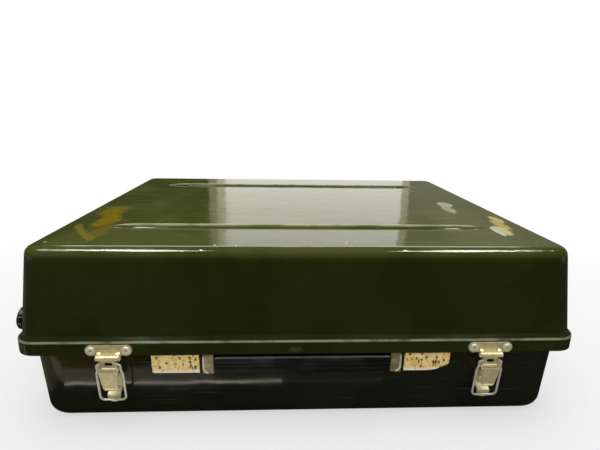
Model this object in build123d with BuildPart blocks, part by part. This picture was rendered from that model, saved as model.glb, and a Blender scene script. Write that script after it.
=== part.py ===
from build123d import *
from math import asin, cos, radians, sin, sqrt, tan
import os

# Glass-fibre transport case: a shallow tapered base tub, a deep lid whose skirt laps over it,
# two over-centre latches and a strap handle at the front, two butt hinges at the rear.
# Millimetres. X runs along the front, the front faces -Y, Z is up.
# The origin is the middle of the underside.

# Case body
case_width = 572.0
case_depth = 476.0
case_height = 187.0
shell_wall = 3.0
skirt_bottom = 81.0
skirt_height = 13.5
skirt_corner = 22.0
flare_width = 4.5
flare_round = 2.5
lid_draft = 5.8
lid_edge_round = 10.0
base_inset = 8.0
base_draft = 3.5
base_corner = 29.5
base_edge_round = 13.0
flange_gap = 3.0
flange_thickness = 3.0
flange_drop = 2.5
flange_corner = 19.0

# Stiffening ridges pressed in the top of the lid
ridge_length = 438.0
ridge_taper = 36.0
ridge_width = 15.0
ridge_height = 3.2
ridge_spacing = 282.0

# Rim seal
seal_width = 3.6
seal_height = 5.4
seal_bevel = 1.2
seal_clearance = 0.5

# Fits and fasteners
pin_clearance = 0.05
running_gap = 0.3
rivet_shank = 1.7
rivet_head = 3.2
rivet_head_height = 1.1
rivet_head_taper = 28
rivet_tail = 2.7
rivet_tail_height = 0.9
rivet_bore = 0.9
backing_thickness = 0.8
backing_corner = 2.0
backing_margin = 0.6

# Latches
latch_spacing = 382.0
latch_rivet_spacing = 34.0
latch_lobe = 5.6
latch_rivet_head = 4.3
latch_rivet_taper = 48
latch_plate_thickness = 1.5
latch_plate_height = 10.6
plate_bead = 1.6
latch_rivet_rise = 6.0
latch_knuckle = 2.5
latch_pin = 1.4
latch_pin_head = 2.1
latch_pin_head_height = 0.8
latch_lip_width = 22.0
lip_rise = 5.0
lip_crown = 0.9
lip_sheet = 0.8
link_width = 14.4
link_pivot_drop = 1.0
ear_play = 0.4
link_length = 12.0
link_thickness = 1.2
link_window = (8.0, 3.6)
lever_length = 22.8
lever_top_width = 18.4
lever_tip_width = 13.4
lever_thickness = 1.2
lever_tip_round = 2.6
lever_curl = 1.1
lever_curl_width = 10.0
lever_lean = 8.0
ear_thickness = 1.2
ear_overlap = 0.4
ear_root = 1.6
ear_skirt = 9.0
bail_wire = 1.1
bail_width = 25.4
bail_neck_width = 22.8
bail_length = 43.0
bail_rise = 6.0
bail_neck = 7.0
bail_shoulder = 11.0
bail_eye_round = 2.0
bail_neck_round = 4.0
bail_round = 4.5
hook_gap = 0.2

# Strikes
strike_width = 13.0
strike_thickness = 1.5
strike_drop = 25.0
strike_bend_drop = 41.0
tongue_root_drop = 45.5
tongue_length = 8.0
tongue_flat = 0.4
bend_trim = 0.6
strike_backing_margin = 9.0
tongue_front = 1.5
strike_rivet_drops = (29.0, 36.5)

# Strap handle
handle_drop = 12.2
grip_length = 177.6
grip_height = 18.4
grip_thickness = 9.0
grip_round = 3.0
grip_groove = 1.0
grip_groove_pitch = 4.5
strap_height = 15.0
strap_thickness = 3.2
strap_lift = 0.6
strap_inset = 1.0
loop_spacing = 191.6
loop_width = 11.0
loop_strip = 1.5
loop_round = 2.2
loop_inside = 19.0
strap_slack = 3.3
pad_length = 47.0
pad_height = 20.6
pad_thickness = 1.9
pad_round = 1.6
pad_cut = {"left": (4.0, 2.4, 3.2), "right": (23.0, 8.0, 1.6)}
loop_foot = 4.0
loop_backing_margin = (8.0, 14.0)

# Hinges
hinge_spacing = 330.0
hinge_width = 60.0
hinge_knuckle = 3.6
hinge_pin = 2.0
hinge_pin_end = 1.0
hinge_leaf = 2.0
hinge_web = 2.0
crank_overlap = 3.0
hinge_drop = 3.0
hinge_leaf_rise = 12.0
hinge_leaf_drop = 43.0
crank_drop = 20.0
leaf_corner = 2.5
hinge_centre_knuckle = 20.0
hinge_rivet_spacing = 44.0

# Breather in the left wall of the lid
vent_y = -202.0
vent_rise = 5.2
vent_stem = 3.5
vent_stem_length = 18.0
vent_stem_spare = 2.0
vent_stem_end = 3.0
vent_cap = 12.5
vent_cap_stand_off = 4.4
vent_cap_height = 5.5
vent_cap_round = 2.8
vent_flute = 1.8
vent_flutes = 12
vent_nut = 5.7
vent_nut_height = 4.0
vent_washer = 5.7
vent_washer_thickness = 1.0

half_width = case_width / 2
half_depth = case_depth / 2
flare_bottom = skirt_bottom + skirt_height
flare_top = flare_bottom + flare_width
base_slope = tan(radians(base_draft))
lid_slope = tan(radians(lid_draft))
bevel_drop = shell_wall * (sqrt(2) - 1)
sides = (("left", -1), ("right", 1))

# Heights of the fittings, all taken from the bottom edge of the lid skirt or from its flare
flange_top = flare_bottom - flange_drop
latch_rivet_z = skirt_bottom + latch_rivet_rise
strike_top = skirt_bottom - strike_drop
strike_bend = skirt_bottom - strike_bend_drop
tongue_root = skirt_bottom - tongue_root_drop
tongue_tip = tongue_root - tongue_length
strike_rivet_z = [skirt_bottom - drop for drop in strike_rivet_drops]
handle_z = skirt_bottom - handle_drop
hinge_z = skirt_bottom - hinge_drop
hinge_leaf_top = skirt_bottom + hinge_leaf_rise
hinge_leaf_bottom = skirt_bottom - hinge_leaf_drop
crank_z = skirt_bottom - crank_drop
vent_z = flare_top + vent_rise

os.makedirs("parts", exist_ok=True)


def save(part, name):
    """Label a finished piece and write it under its own name."""
    part.label = name
    export_step(part, f"parts/{name}.step")


def base_wall(half_size, z):
    """Distance of the drafted base wall from the middle, at height z."""
    return half_size - base_inset - (skirt_bottom - z) * base_slope


def front_wall(x, z):
    """Plane on the front wall of the base: local x along the case, y up the wall, z outwards."""
    lean = radians(base_draft)
    origin = (x, -base_wall(half_depth, z), z)
    return Plane(origin=origin, x_dir=(1, 0, 0), z_dir=(0, -cos(lean), -sin(lean)))


def rear_wall(x, z):
    """Plane on the rear wall of the base, facing backwards."""
    lean = radians(base_draft)
    origin = (x, base_wall(half_depth, z), z)
    return Plane(origin=origin, x_dir=(-1, 0, 0), z_dir=(0, cos(lean), -sin(lean)))


def front_skirt(x, z):
    """Plane on the upright front face of the lid skirt."""
    return Plane(origin=(x, -half_depth, z), x_dir=(1, 0, 0), z_dir=(0, -1, 0))


def rear_skirt(x, z):
    """Plane on the upright rear face of the lid skirt."""
    return Plane(origin=(x, half_depth, z), x_dir=(-1, 0, 0), z_dir=(0, 1, 0))


def side_of(plane):
    """Cross-section plane of another plane: local x points outwards, y stays up."""
    return Plane(origin=plane.origin, x_dir=plane.z_dir, z_dir=-plane.x_dir)


def add_rivet(face, grip, head_radius=rivet_head, head_taper=rivet_head_taper):
    """Tubular rivet: low head on the face, shank through the grip, clenched tail inside."""
    with BuildSketch(face) as head:
        Circle(head_radius)
    extrude(head.sketch, amount=rivet_head_height, taper=head_taper)
    with BuildSketch(face) as shank:
        Circle(rivet_shank)
    extrude(shank.sketch, amount=-grip)
    with BuildSketch(face.offset(-grip)) as tail:
        Circle(rivet_tail)
    extrude(tail.sketch, amount=-rivet_tail_height)
    with BuildSketch(face.offset(rivet_head_height)) as bore:
        Circle(rivet_bore)
    extrude(bore.sketch, amount=-rivet_head_height * 2, mode=Mode.SUBTRACT)


def cut_rivet_hole(face, depth):
    """Clearance hole for a rivet shank, cut from just outside the face."""
    with BuildSketch(face.offset(running_gap)) as hole:
        Circle(rivet_shank + pin_clearance)
    extrude(hole.sketch, amount=-depth - running_gap, mode=Mode.SUBTRACT)


# Rivet positions, shared by the holes, the plates and the rivets themselves
latch_rivet_faces = {
    side: [front_skirt(sign * latch_spacing / 2 + x, latch_rivet_z)
           for x in (-latch_rivet_spacing / 2, latch_rivet_spacing / 2)]
    for side, sign in sides
}
strike_rivet_faces = {
    side: [front_wall(sign * latch_spacing / 2, z) for z in strike_rivet_z]
    for side, sign in sides
}
hinge_lid_faces = {
    side: [rear_skirt(sign * hinge_spacing / 2 + x, latch_rivet_z)
           for x in (-hinge_rivet_spacing / 2, hinge_rivet_spacing / 2)]
    for side, sign in sides
}
hinge_base_z = (hinge_leaf_bottom + strike_top) / 2
hinge_base_faces = {
    side: [rear_wall(sign * hinge_spacing / 2 + x, hinge_base_z)
           for x in (-hinge_rivet_spacing / 2, hinge_rivet_spacing / 2)]
    for side, sign in sides
}

# Base tub
base_bottom_width = 2 * base_wall(half_width, 0)
base_bottom_depth = 2 * base_wall(half_depth, 0)
slant_wall = shell_wall / cos(radians(base_draft))
handle_plane = front_wall(0, handle_z)
loop_leg_up = loop_inside / 2 + loop_strip / 2

with BuildPart() as base_hollow:
    with BuildSketch(Plane.XY.offset(shell_wall)):
        hollow_inset = 2 * (slant_wall - shell_wall * base_slope)
        RectangleRounded(base_bottom_width - hollow_inset, base_bottom_depth - hollow_inset,
                         base_corner - shell_wall)
    extrude(amount=flange_top, taper=-base_draft)
    fillet(base_hollow.faces().sort_by(Axis.Z)[0].edges(), radius=base_edge_round - shell_wall)

with BuildPart() as base_tub:
    with BuildSketch():
        RectangleRounded(base_bottom_width, base_bottom_depth, base_corner)
    extrude(amount=flange_top - flange_thickness / 2, taper=-base_draft)
    fillet(base_tub.faces().sort_by(Axis.Z)[0].edges(), radius=base_edge_round)
    flange_edge = shell_wall + flange_gap
    with BuildSketch(Plane.XY.offset(flange_top - flange_thickness)):
        RectangleRounded(case_width - 2 * flange_edge, case_depth - 2 * flange_edge, flange_corner)
    extrude(amount=flange_thickness)
    add(base_hollow.part, mode=Mode.SUBTRACT)
    for side, sign in sides:
        for face in strike_rivet_faces[side] + hinge_base_faces[side]:
            cut_rivet_hole(face, 2 * shell_wall)
    with BuildSketch(handle_plane.offset(running_gap)):
        with GridLocations(loop_spacing, 2 * loop_leg_up, 2, 2):
            Rectangle(loop_width + running_gap, loop_strip + running_gap)
    extrude(amount=-2 * shell_wall, mode=Mode.SUBTRACT)
save(base_tub.part, "base_tub")

# Rim seal, bedded on the base flange and bevelled to meet the flare of the lid
seal_edge = shell_wall + flange_gap + seal_clearance
with BuildPart() as rim_seal:
    with BuildSketch(Plane.XY.offset(flange_top)):
        RectangleRounded(case_width - 2 * seal_edge, case_depth - 2 * seal_edge, flange_corner)
        inner_edge = seal_edge + seal_width
        RectangleRounded(case_width - 2 * inner_edge, case_depth - 2 * inner_edge,
                         flange_corner - seal_width, mode=Mode.SUBTRACT)
    extrude(amount=seal_height)
    top_face = rim_seal.faces().sort_by(Axis.Z)[-1]
    chamfer(top_face.outer_wire().edges(), length=seal_bevel)
    chamfer(rim_seal.faces().sort_by(Axis.Z)[-1].inner_wires()[0].edges(), length=seal_bevel)
save(rim_seal.part, "rim_seal")

# Lid: the inner faces of flare and wall are set in by the wall thickness, square to each
lid_corner = skirt_corner - flare_width
lid_top = flare_width + (case_height - flare_top) * lid_slope
slant_lid_wall = shell_wall / cos(radians(lid_draft))
flare_line = flare_bottom - bevel_drop - shell_wall
inner_bend = ((flare_width + slant_lid_wall - (flare_top - flare_line) * lid_slope)
              / (1 - lid_slope))
inner_bend_z = flare_line + inner_bend
with BuildPart() as lid_hollow:
    with BuildSketch(Plane.XY.offset(skirt_bottom)):
        RectangleRounded(case_width - 2 * shell_wall, case_depth - 2 * shell_wall,
                         skirt_corner - shell_wall)
    extrude(amount=skirt_height - bevel_drop)
    with BuildSketch(Plane.XY.offset(flare_bottom - bevel_drop)):
        RectangleRounded(case_width - 2 * shell_wall, case_depth - 2 * shell_wall,
                         skirt_corner - shell_wall)
    extrude(amount=inner_bend - shell_wall, taper=45)
    with BuildSketch(Plane.XY.offset(inner_bend_z)):
        RectangleRounded(case_width - 2 * inner_bend, case_depth - 2 * inner_bend,
                         lid_corner - shell_wall)
    with BuildSketch(Plane.XY.offset(case_height - shell_wall)):
        inner_top = inner_bend + (case_height - shell_wall - inner_bend_z) * lid_slope
        RectangleRounded(case_width - 2 * inner_top, case_depth - 2 * inner_top,
                         lid_corner - shell_wall)
    loft(ruled=True)
    fillet(lid_hollow.faces().sort_by(Axis.Z)[-1].edges(), radius=lid_edge_round - shell_wall)

# Ridges: long spindles, sunk so far that only a low crown with pointed ends stands proud
ridge_radius = (ridge_width ** 2 / 4 + ridge_height ** 2) / (2 * ridge_height)
ridge_axis_z = case_height + ridge_height - ridge_radius
with BuildPart() as ridges:
    for ridge_y in (-ridge_spacing / 2, ridge_spacing / 2):
        with BuildSketch(Plane.XZ.offset(-ridge_y)):
            with BuildLine():
                tip = ridge_length / 2
                shoulder = tip - ridge_taper
                tip_z = ridge_axis_z + sqrt(ridge_radius ** 2 - ridge_width ** 2 / 4)
                crown_z = ridge_axis_z + ridge_radius
                Line((-shoulder, crown_z), (shoulder, crown_z))
                TangentArc((shoulder, crown_z), (tip, tip_z), tangent=(1, 0))
                TangentArc((-shoulder, crown_z), (-tip, tip_z), tangent=(-1, 0))
                Polyline((-tip, tip_z), (-tip, ridge_axis_z), (tip, ridge_axis_z), (tip, tip_z))
            make_face()
        revolve(axis=Axis((0, ridge_y, ridge_axis_z), (1, 0, 0)))
    split(bisect_by=Plane.XY.offset(case_height - shell_wall / 2), keep=Keep.TOP)

vent_wall_x = half_width - flare_width - (vent_z - flare_top) * lid_slope
vent_lean = radians(lid_draft)
vent_plane = Plane(origin=(-vent_wall_x, vent_y, vent_z), x_dir=(0, -1, 0),
                   z_dir=(-cos(vent_lean), 0, sin(vent_lean)))

with BuildPart() as lid:
    with BuildSketch(Plane.XY.offset(skirt_bottom)):
        RectangleRounded(case_width, case_depth, skirt_corner)
    extrude(amount=skirt_height)
    with BuildSketch(Plane.XY.offset(flare_bottom)):
        RectangleRounded(case_width, case_depth, skirt_corner)
    extrude(amount=flare_width, taper=45)
    with BuildSketch(Plane.XY.offset(flare_top)):
        RectangleRounded(case_width - 2 * flare_width, case_depth - 2 * flare_width, lid_corner)
    with BuildSketch(Plane.XY.offset(case_height)):
        RectangleRounded(case_width - 2 * lid_top, case_depth - 2 * lid_top, lid_corner)
    loft(ruled=True)
    fillet(lid.faces().sort_by(Axis.Z)[-1].edges(), radius=lid_edge_round)
    for bend_z in (flare_top, flare_bottom):
        fillet(lid.edges().filter_by_position(Axis.Z, bend_z - 0.1, bend_z + 0.1),
               radius=flare_round)
    add(ridges.part)
    add(lid_hollow.part, mode=Mode.SUBTRACT)
    for side, sign in sides:
        for face in latch_rivet_faces[side] + hinge_lid_faces[side]:
            cut_rivet_hole(face, 2 * shell_wall)
    with BuildSketch(vent_plane.offset(running_gap)):
        Circle(vent_stem + pin_clearance)
    extrude(amount=-3 * shell_wall, mode=Mode.SUBTRACT)
save(lid.part, "lid")

# Hinges: the lid leaf lies flat on the skirt, the base leaf is cranked out from the tub wall
hinge_y = half_depth + hinge_knuckle + running_gap
lid_knuckle = hinge_centre_knuckle / 2 - running_gap / 2
base_knuckle = hinge_centre_knuckle / 2 + running_gap / 2
leaf_foot_y = base_wall(half_depth, hinge_leaf_bottom)
crank_y = base_wall(half_depth, crank_z)
for side, sign in sides:
    hinge_x = sign * hinge_spacing / 2

    with BuildPart() as hinge_lid_leaf:
        with BuildSketch(rear_skirt(hinge_x, 0)):
            leaf_low = hinge_z + hinge_knuckle + running_gap
            with Locations((0, (leaf_low + hinge_leaf_top) / 2)):
                RectangleRounded(hinge_width, hinge_leaf_top - leaf_low, leaf_corner)
        extrude(amount=hinge_leaf)
        with BuildSketch(Plane.YZ.offset(hinge_x - lid_knuckle)):
            with Locations((hinge_y, hinge_z)):
                Circle(hinge_knuckle)
            with BuildLine():
                Polyline((half_depth, leaf_low + hinge_web),
                         (half_depth + hinge_leaf, leaf_low + hinge_web),
                         (hinge_y + hinge_web / 2, hinge_z + hinge_knuckle - running_gap),
                         (hinge_y, hinge_z),
                         (half_depth + 2 * running_gap, hinge_z), close=True)
            make_face()
        extrude(amount=2 * lid_knuckle)
        with BuildSketch(Plane.YZ.offset(hinge_x - hinge_width / 2)):
            with Locations((hinge_y, hinge_z)):
                Circle(hinge_pin + pin_clearance)
        extrude(amount=hinge_width, mode=Mode.SUBTRACT)
        for face in hinge_lid_faces[side]:
            cut_rivet_hole(face.offset(hinge_leaf), 2 * hinge_leaf)
    save(hinge_lid_leaf.part, f"hinge_lid_leaf_{side}")

    with BuildPart() as hinge_base_leaf:
        with BuildSketch(rear_wall(hinge_x, (hinge_leaf_bottom + crank_z) / 2)):
            leaf_length = (crank_z - hinge_leaf_bottom) / cos(radians(base_draft))
            RectangleRounded(hinge_width, leaf_length, leaf_corner)
        extrude(amount=hinge_leaf)
        for start_x in (-hinge_width / 2, base_knuckle):
            with BuildSketch(Plane.YZ.offset(hinge_x + start_x)):
                with Locations((hinge_y, hinge_z)):
                    Circle(hinge_knuckle)
                with BuildLine():
                    crank_foot_y = crank_y - crank_overlap * base_slope
                    Polyline((crank_y, crank_z), (crank_foot_y, crank_z - crank_overlap),
                             (crank_foot_y + hinge_leaf, crank_z - crank_overlap),
                             (hinge_y + hinge_knuckle - running_gap, hinge_z - hinge_leaf / 2),
                             (hinge_y, hinge_z),
                             (hinge_y - hinge_leaf, hinge_z - crank_overlap), close=True)
                make_face()
            extrude(amount=hinge_width / 2 - base_knuckle)
        with BuildSketch(Plane.YZ.offset(hinge_x - hinge_width / 2)):
            with Locations((hinge_y, hinge_z)):
                Circle(hinge_pin + pin_clearance)
        extrude(amount=hinge_width, mode=Mode.SUBTRACT)
        for face in hinge_base_faces[side]:
            cut_rivet_hole(face.offset(hinge_leaf), 2 * hinge_leaf)
    save(hinge_base_leaf.part, f"hinge_base_leaf_{side}")

    with BuildPart() as hinge_pin_part:
        with BuildSketch(Plane.YZ.offset(hinge_x - hinge_width / 2 - hinge_pin_end)):
            with Locations((hinge_y, hinge_z)):
                Circle(hinge_pin)
        extrude(amount=hinge_width + 2 * hinge_pin_end)
        chamfer(hinge_pin_part.edges(), length=hinge_pin_end / 2)
    save(hinge_pin_part.part, f"hinge_pin_{side}")

    with BuildPart() as hinge_lid_backing:
        with BuildSketch(rear_skirt(hinge_x, latch_rivet_z).offset(-shell_wall)):
            SlotOverall(hinge_width, 2 * rivet_tail + backing_margin)
        extrude(amount=-backing_thickness)
        for face in hinge_lid_faces[side]:
            cut_rivet_hole(face, 2 * shell_wall)
    save(hinge_lid_backing.part, f"hinge_lid_backing_{side}")

    with BuildPart() as hinge_base_backing:
        with BuildSketch(rear_wall(hinge_x, hinge_base_z).offset(-shell_wall)):
            SlotOverall(hinge_width, 4 * rivet_tail)
        extrude(amount=-backing_thickness)
        for face in hinge_base_faces[side]:
            cut_rivet_hole(face, 2 * shell_wall)
    save(hinge_base_backing.part, f"hinge_base_backing_{side}")

with BuildPart() as hinge_lid_rivets:
    for side, sign in sides:
        for face in hinge_lid_faces[side]:
            add_rivet(face.offset(hinge_leaf), hinge_leaf + shell_wall + backing_thickness)
save(hinge_lid_rivets.part, "hinge_lid_rivets")

with BuildPart() as hinge_base_rivets:
    for side, sign in sides:
        for face in hinge_base_faces[side]:
            add_rivet(face.offset(hinge_leaf), hinge_leaf + shell_wall + backing_thickness)
save(hinge_base_rivets.part, "hinge_base_rivets")

# Latches: plate on the skirt, link hanging from its knuckle, lever on the link,
# wire bail hung in the ears of the lever above the lever's own pivot, so it passes over centre
plate_face_y = -half_depth - latch_plate_thickness
link_pivot_y = plate_face_y - running_gap - latch_knuckle
link_pivot_z = skirt_bottom - link_pivot_drop
lever_pivot_z = link_pivot_z - link_length
lean = radians(lever_lean)
lever_stand_off = latch_knuckle + running_gap
ear_inside = link_width / 2 + ear_play
ear_outside = ear_inside + ear_thickness
bail_pivot_y = link_pivot_y - bail_rise * sin(lean)
bail_pivot_z = lever_pivot_z + bail_rise * cos(lean)
tongue_face_y = -half_depth + tongue_front
bail_foot_y = tongue_face_y - running_gap - hook_gap - bail_wire
bail_lean = asin((bail_foot_y - bail_pivot_y) / bail_length)

for side, sign in sides:
    latch_x = sign * latch_spacing / 2

    with BuildPart() as latch_plate:
        with BuildSketch(front_skirt(latch_x, latch_rivet_z)):
            with GridLocations(latch_rivet_spacing, 0, 2, 1):
                Circle(latch_lobe)
            Rectangle(latch_rivet_spacing, latch_plate_height)
        extrude(amount=latch_plate_thickness)
        with BuildSketch(front_skirt(latch_x, latch_rivet_z).offset(latch_plate_thickness)):
            RectangleRounded(latch_rivet_spacing - 2 * latch_rivet_head - running_gap,
                             latch_plate_height - 2 * plate_bead, plate_bead)
        extrude(amount=-latch_plate_thickness / 3, mode=Mode.SUBTRACT)
        for start_x in (-latch_lip_width / 2, link_width / 2 + running_gap):
            with BuildSketch(Plane.YZ.offset(latch_x + start_x)):
                with Locations((link_pivot_y, link_pivot_z)):
                    Circle(latch_knuckle)
                with BuildLine():
                    lip_edge = latch_knuckle - running_gap
                    Polyline((-half_depth, link_pivot_z + lip_rise),
                             (plate_face_y, link_pivot_z + lip_rise),
                             (link_pivot_y - lip_crown, link_pivot_z + lip_edge),
                             (link_pivot_y, link_pivot_z), (link_pivot_y + lip_edge, link_pivot_z),
                             (-half_depth, skirt_bottom), close=True)
                make_face()
            extrude(amount=latch_lip_width / 2 - link_width / 2 - running_gap)
        with BuildSketch(Plane.YZ.offset(latch_x - latch_lip_width / 2)):
            hood_inside = latch_knuckle + running_gap
            with Locations((link_pivot_y, link_pivot_z)):
                Circle(hood_inside + lip_sheet)
                Circle(hood_inside, mode=Mode.SUBTRACT)
                Rectangle(4 * latch_knuckle, 4 * latch_knuckle, mode=Mode.INTERSECT,
                          align=(Align.MAX, Align.MIN))
            with Locations((link_pivot_y, link_pivot_z + hood_inside)):
                Rectangle(-half_depth - link_pivot_y, lip_sheet, align=(Align.MIN, Align.MIN))
        extrude(amount=latch_lip_width)
        with BuildSketch(Plane.YZ.offset(latch_x - latch_lip_width / 2)):
            with Locations((link_pivot_y, link_pivot_z)):
                Circle(latch_pin + pin_clearance)
        extrude(amount=latch_lip_width, mode=Mode.SUBTRACT)
        for face in latch_rivet_faces[side]:
            cut_rivet_hole(face.offset(latch_plate_thickness), 2 * latch_plate_thickness)
    save(latch_plate.part, f"latch_plate_{side}")

    with BuildPart() as latch_rivets:
        for face in latch_rivet_faces[side]:
            add_rivet(face.offset(latch_plate_thickness),
                      latch_plate_thickness + shell_wall + backing_thickness,
                      latch_rivet_head, latch_rivet_taper)
    save(latch_rivets.part, f"latch_rivets_{side}")

    with BuildPart() as latch_backing:
        with BuildSketch(front_skirt(latch_x, latch_rivet_z).offset(-shell_wall)):
            SlotOverall(latch_rivet_spacing + 2 * latch_lobe, 2 * rivet_tail + backing_margin)
        extrude(amount=-backing_thickness)
        for face in latch_rivet_faces[side]:
            cut_rivet_hole(face, 2 * shell_wall)
    save(latch_backing.part, f"latch_backing_{side}")

    with BuildPart() as latch_link:
        with BuildSketch(Plane.YZ.offset(latch_x - link_width / 2)):
            with Locations((link_pivot_y, link_pivot_z), (link_pivot_y, lever_pivot_z)):
                Circle(latch_knuckle)
            with Locations((link_pivot_y, (link_pivot_z + lever_pivot_z) / 2)):
                Rectangle(link_thickness, link_length)
            with Locations((link_pivot_y, link_pivot_z), (link_pivot_y, lever_pivot_z)):
                Circle(latch_pin + pin_clearance, mode=Mode.SUBTRACT)
        extrude(amount=link_width)
        with BuildSketch(front_skirt(latch_x, (link_pivot_z + lever_pivot_z) / 2)):
            SlotOverall(*link_window)
        extrude(amount=4 * latch_knuckle, mode=Mode.SUBTRACT)
    save(latch_link.part, f"latch_link_{side}")

    with BuildPart() as link_pin:
        with BuildSketch(Plane.YZ.offset(latch_x - latch_lip_width / 2)):
            with Locations((link_pivot_y, link_pivot_z)):
                Circle(latch_pin)
        extrude(amount=latch_lip_width)
        for end_x in (-latch_lip_width / 2 - latch_pin_head_height, latch_lip_width / 2):
            with BuildSketch(Plane.YZ.offset(latch_x + end_x)):
                with Locations((link_pivot_y, link_pivot_z)):
                    Circle(latch_pin_head)
            extrude(amount=latch_pin_head_height)
    save(link_pin.part, f"latch_link_pin_{side}")

    lever_plane = Plane(origin=(latch_x, link_pivot_y, lever_pivot_z), x_dir=(1, 0, 0),
                        z_dir=(0, -cos(lean), -sin(lean)))
    with BuildPart() as latch_lever:
        with BuildSketch(lever_plane.offset(lever_stand_off)):
            with BuildLine():
                Polyline((-lever_top_width / 2, -ear_thickness), (lever_top_width / 2, -ear_thickness),
                         (lever_tip_width / 2, -lever_length),
                         (-lever_tip_width / 2, -lever_length), close=True)
            make_face()
            fillet(vertices().group_by(Axis.Y)[0], radius=lever_tip_round)
        extrude(amount=lever_thickness)
        with BuildSketch(side_of(lever_plane).offset(-lever_curl_width / 2)):
            with Locations((lever_stand_off + lever_curl, lever_curl - lever_length)):
                Circle(lever_curl)
        extrude(amount=lever_curl_width)
        for inner, thickness in ((ear_inside, ear_thickness), (-ear_inside, -ear_thickness)):
            ear_plane = side_of(lever_plane).offset(-inner)
            with BuildSketch(ear_plane):
                Circle(latch_knuckle)
                with Locations((0, bail_rise)):
                    Circle(bail_wire + ear_thickness)
                with BuildLine():
                    ear_edge = lever_stand_off + ear_overlap
                    Polyline((ear_edge, -ear_root), (ear_edge, -ear_skirt),
                             (ear_overlap, -ear_skirt / 2), (0, 0), close=True)
                make_face()
                make_hull()
                with Locations((0, 0)):
                    Circle(latch_pin + pin_clearance, mode=Mode.SUBTRACT)
                with Locations((0, bail_rise)):
                    Circle(bail_wire + 2 * pin_clearance, mode=Mode.SUBTRACT)
            extrude(amount=-thickness)
    save(latch_lever.part, f"latch_lever_{side}")

    with BuildPart() as lever_pin:
        with BuildSketch(Plane.YZ.offset(latch_x - ear_outside)):
            with Locations((link_pivot_y, lever_pivot_z)):
                Circle(latch_pin)
        extrude(amount=2 * ear_outside)
        for end_x in (-ear_outside - latch_pin_head_height, ear_outside):
            with BuildSketch(Plane.YZ.offset(latch_x + end_x)):
                with Locations((link_pivot_y, lever_pivot_z)):
                    Circle(latch_pin_head)
            extrude(amount=latch_pin_head_height)
    save(lever_pin.part, f"latch_lever_pin_{side}")

    bail_plane = Plane(origin=(latch_x, bail_pivot_y, bail_pivot_z), x_dir=(1, 0, 0),
                       z_dir=(0, -cos(bail_lean), -sin(bail_lean)))
    with BuildPart() as latch_bail:
        with BuildLine(bail_plane):
            neck = bail_neck_width / 2
            leg = bail_width / 2
            bail_path = FilletPolyline(
                (ear_inside, 0), (neck, 0), (neck, -bail_neck), (leg, -bail_shoulder),
                (leg, -bail_length), (-leg, -bail_length), (-leg, -bail_shoulder),
                (-neck, -bail_neck), (-neck, 0), (-ear_inside, 0),
                radius=[bail_eye_round, bail_neck_round, bail_neck_round, bail_round,
                        bail_round, bail_neck_round, bail_neck_round, bail_eye_round])
        with BuildSketch(Plane.YZ.offset(latch_x + ear_inside)):
            with Locations((bail_pivot_y, bail_pivot_z)):
                Circle(bail_wire)
        sweep(path=bail_path)
    save(latch_bail.part, f"latch_bail_{side}")

    # Strike: foot riveted to the wall, cranked out to a round tongue that the bail hooks behind
    foot_out = base_wall(half_depth, strike_bend)
    with BuildPart() as strike:
        with BuildSketch(Plane.YZ.offset(latch_x - strike_width / 2)):
            with BuildLine():
                top_out = base_wall(half_depth, strike_top)
                inner_y = tongue_face_y + strike_thickness
                Polyline((-top_out, strike_top), (-top_out - strike_thickness, strike_top),
                         (-foot_out - strike_thickness, strike_bend),
                         (tongue_face_y, tongue_root), (tongue_face_y, tongue_tip),
                         (inner_y, tongue_tip), (inner_y, tongue_root - bend_trim),
                         (-foot_out, strike_bend - 2 * bend_trim), close=True)
            make_face()
        extrude(amount=strike_width)
        tongue_corners = strike.edges().filter_by(Axis.Y).group_by(Axis.Z)[0]
        fillet(tongue_corners, radius=(strike_width - tongue_flat) / 2)
        for face in strike_rivet_faces[side]:
            cut_rivet_hole(face.offset(strike_thickness), 2 * strike_thickness)
    save(strike.part, f"strike_{side}")

    with BuildPart() as strike_rivets:
        for face in strike_rivet_faces[side]:
            add_rivet(face.offset(strike_thickness),
                      strike_thickness + shell_wall + backing_thickness)
    save(strike_rivets.part, f"strike_rivets_{side}")

    with BuildPart() as strike_backing:
        with BuildSketch(front_wall(latch_x, sum(strike_rivet_z) / 2).offset(-shell_wall)):
            rivet_span = strike_rivet_z[0] - strike_rivet_z[1]
            RectangleRounded(strike_width, rivet_span + strike_backing_margin, backing_corner)
        extrude(amount=-backing_thickness)
        for face in strike_rivet_faces[side]:
            cut_rivet_hole(face, 2 * shell_wall)
    save(strike_backing.part, f"strike_backing_{side}")

# Strap handle: a ribbed grip on a leather strap whose ends slide through two wall loops
# until their thick pads stop against them
grip_middle = strap_lift + grip_thickness / 2
strap_middle = strap_lift + strap_thickness / 2
handle_side = side_of(handle_plane)
with BuildPart() as handle_grip:
    with BuildSketch(handle_side):
        with Locations((grip_middle, 0)):
            RectangleRounded(grip_thickness, grip_height, grip_round)
        with Locations((strap_lift + grip_thickness, 0)):
            with GridLocations(0, grip_groove_pitch, 1, 3):
                Circle(grip_groove, mode=Mode.SUBTRACT)
        with Locations((strap_middle + strap_inset, 0)):
            Rectangle(strap_thickness + running_gap, strap_height + running_gap,
                      mode=Mode.SUBTRACT)
    extrude(amount=grip_length / 2, both=True)
save(handle_grip.part, "handle_grip")

with BuildPart() as handle_strap:
    with BuildSketch(handle_side):
        with Locations((strap_middle + strap_inset, 0)):
            Rectangle(strap_thickness, strap_height)
    extrude(amount=grip_length / 2, both=True)
save(handle_strap.part, "handle_strap")

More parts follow.
